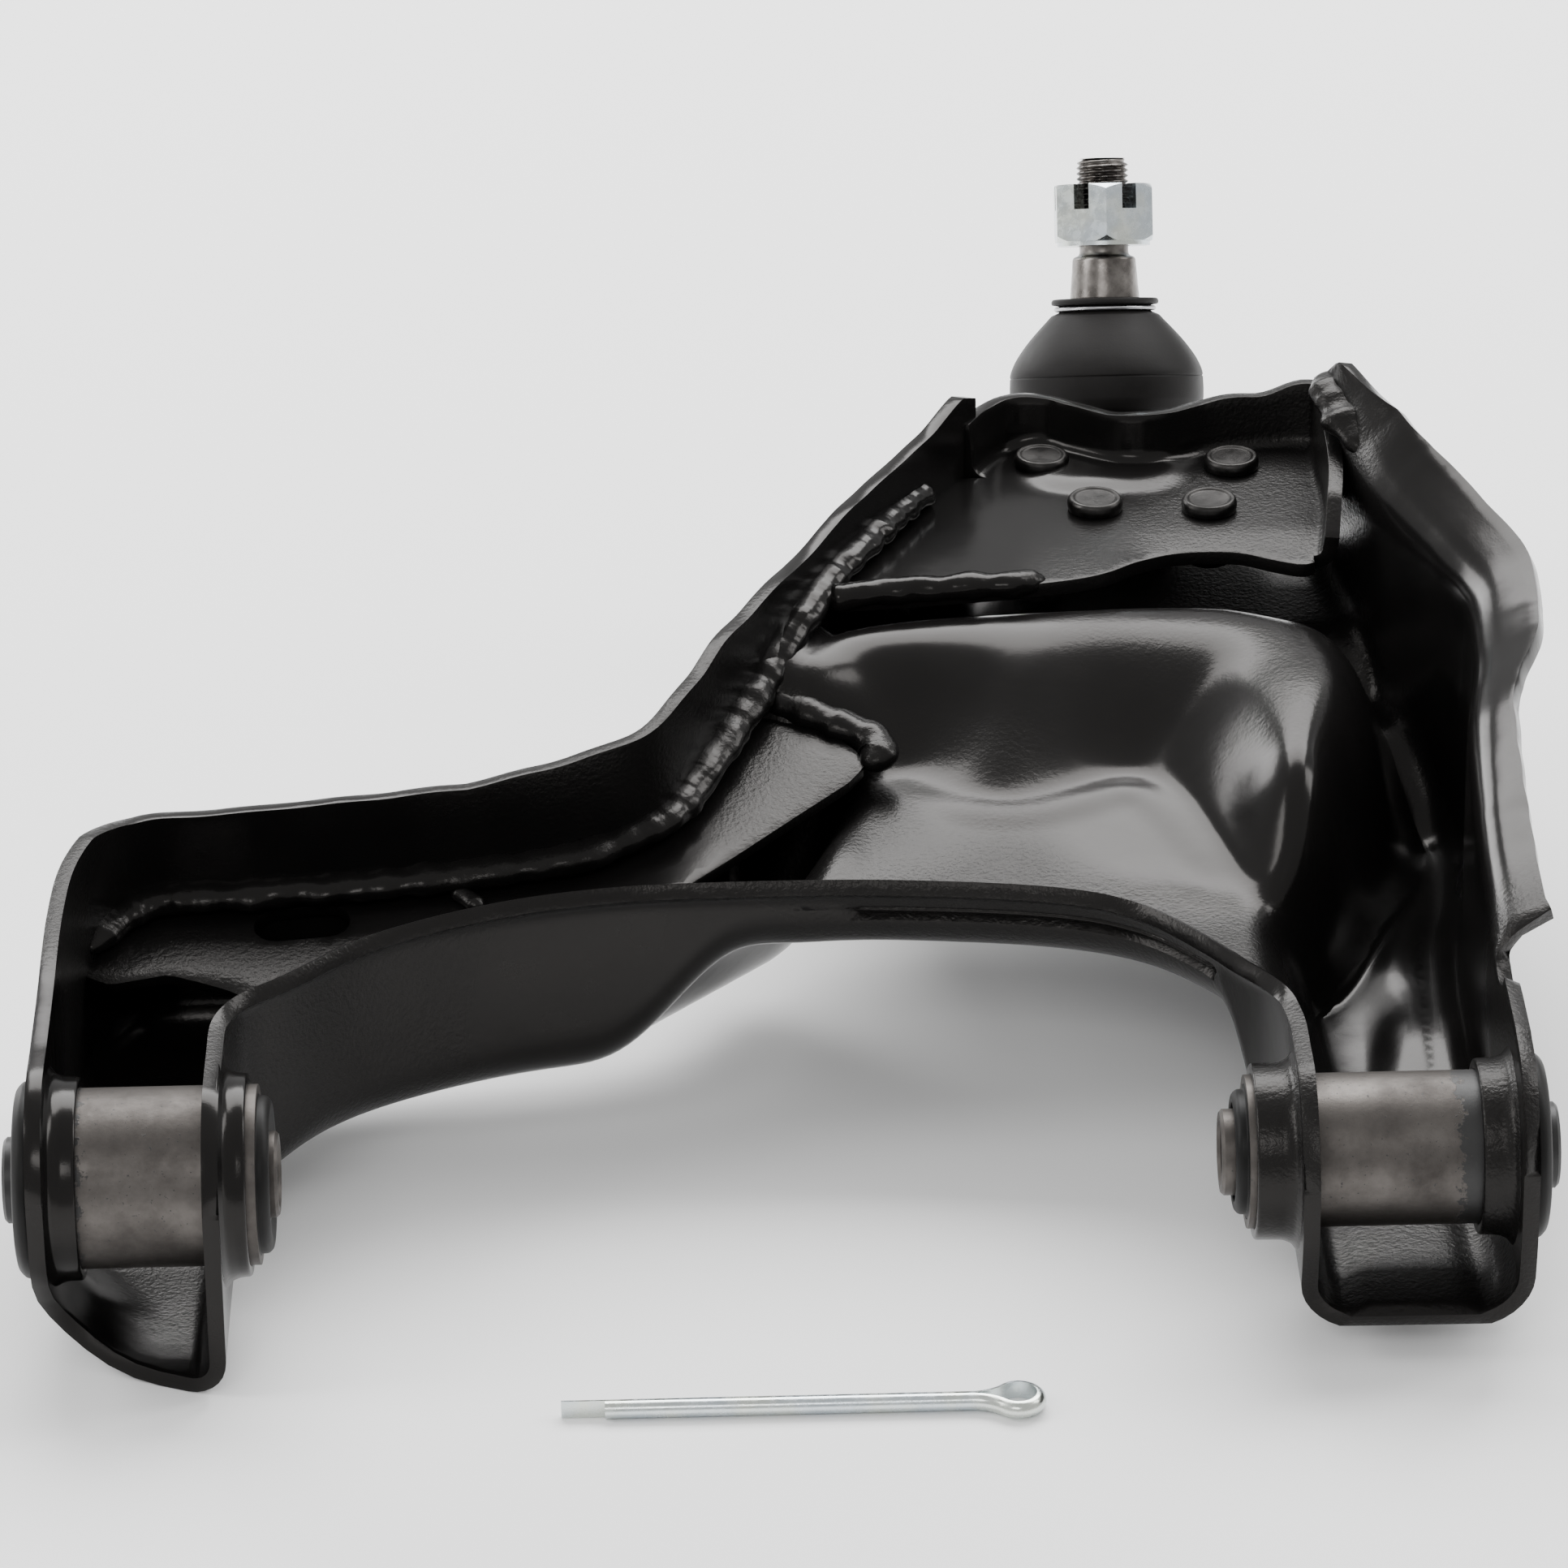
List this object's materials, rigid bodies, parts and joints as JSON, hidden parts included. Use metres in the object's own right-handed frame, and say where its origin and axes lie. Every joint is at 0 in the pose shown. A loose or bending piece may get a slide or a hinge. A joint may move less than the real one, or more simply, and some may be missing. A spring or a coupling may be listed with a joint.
{
  "type": "lower control arm",
  "caption": "Pressed steel lower control arm with two rubber pivot bushes on one axis, a riveted ball joint with castle nut, and its loose cotter pin.",
  "frame": {"origin": "on the pivot axis of the two bushes, midway between the brackets", "axes": "+X along the pivot axis from the large bush to the small one, +Y outboard towards the ball joint, +Z normal to the ball joint plate on the side of the rivet heads"},
  "size_m": [0.3137, 0.3738, 0.1156],
  "materials": {
    "black_coat": "gloss black dip coat over pressed steel",
    "bare_steel": "bare drawn steel, matt grey",
    "bush_rubber": "moulded black rubber",
    "forged_steel": "forging, black coat",
    "seat_plastic": "natural acetal",
    "spring_steel": "oiled spring steel",
    "stud_steel": "ground and phosphated steel",
    "boot_rubber": "soft moulded rubber",
    "zinc_plate": "bright clear zinc plate",
    "rivet_steel": "dark bare steel, dull"
  },
  "bodies": {
    "vehicle_side": {"large_bush_pivot_tube": "bare_steel", "small_bush_pivot_tube": "bare_steel"},
    "arm": {"main_shell": "black_coat", "leg_plate": "black_coat", "ball_joint_plate": "black_coat", "outer_weld": "black_coat", "table_weld": "black_coat", "leg_plate_weld": "black_coat", "corner_weld": "black_coat", "large_bush_sleeve": "bare_steel", "small_bush_sleeve": "bare_steel", "large_bush_rubber": "bush_rubber", "small_bush_rubber": "bush_rubber", "ball_joint_housing": "forged_steel", "housing_cover": "forged_steel", "ball_seat": "seat_plastic", "preload_washer": "spring_steel", "dust_boot": "boot_rubber", "ball_joint_rivets": "rivet_steel"},
    "boot_top": {"boot_clip_ring": "zinc_plate"},
    "stud": {"ball_stud": "stud_steel", "castle_nut": "zinc_plate"},
    "loose_pin": {"cotter_pin": "zinc_plate"}
  },
  "joints": [
    {"name": "arm_swing", "type": "hinge", "parent": "vehicle_side", "child": "arm", "pos_m": [0, 0, 0], "axis": [1, 0, 0], "range_deg": [0, 35], "stiffness_Nm_per_rad": 240, "deforming": ["large_bush_rubber", "small_bush_rubber"]},
    {"name": "stud_tilt", "type": "hinge", "parent": "arm", "child": "boot_top", "pos_m": [0.082, 0.295, 0.015], "axis": [-1, 0, 0], "range_deg": [-25, 25], "deforming": ["dust_boot", "boot_clip_ring"]},
    {"name": "stud_spin", "type": "hinge", "parent": "boot_top", "child": "stud", "pos_m": [0.082, 0.295, 0.015], "axis": [0, 0.4147, 0.91], "continuous": true},
    {"name": "cotter_pin_lift", "type": "slide", "parent": "vehicle_side", "child": "loose_pin", "axis": [0, 0, 1], "range_m": [0, 0.05]}
  ]
}
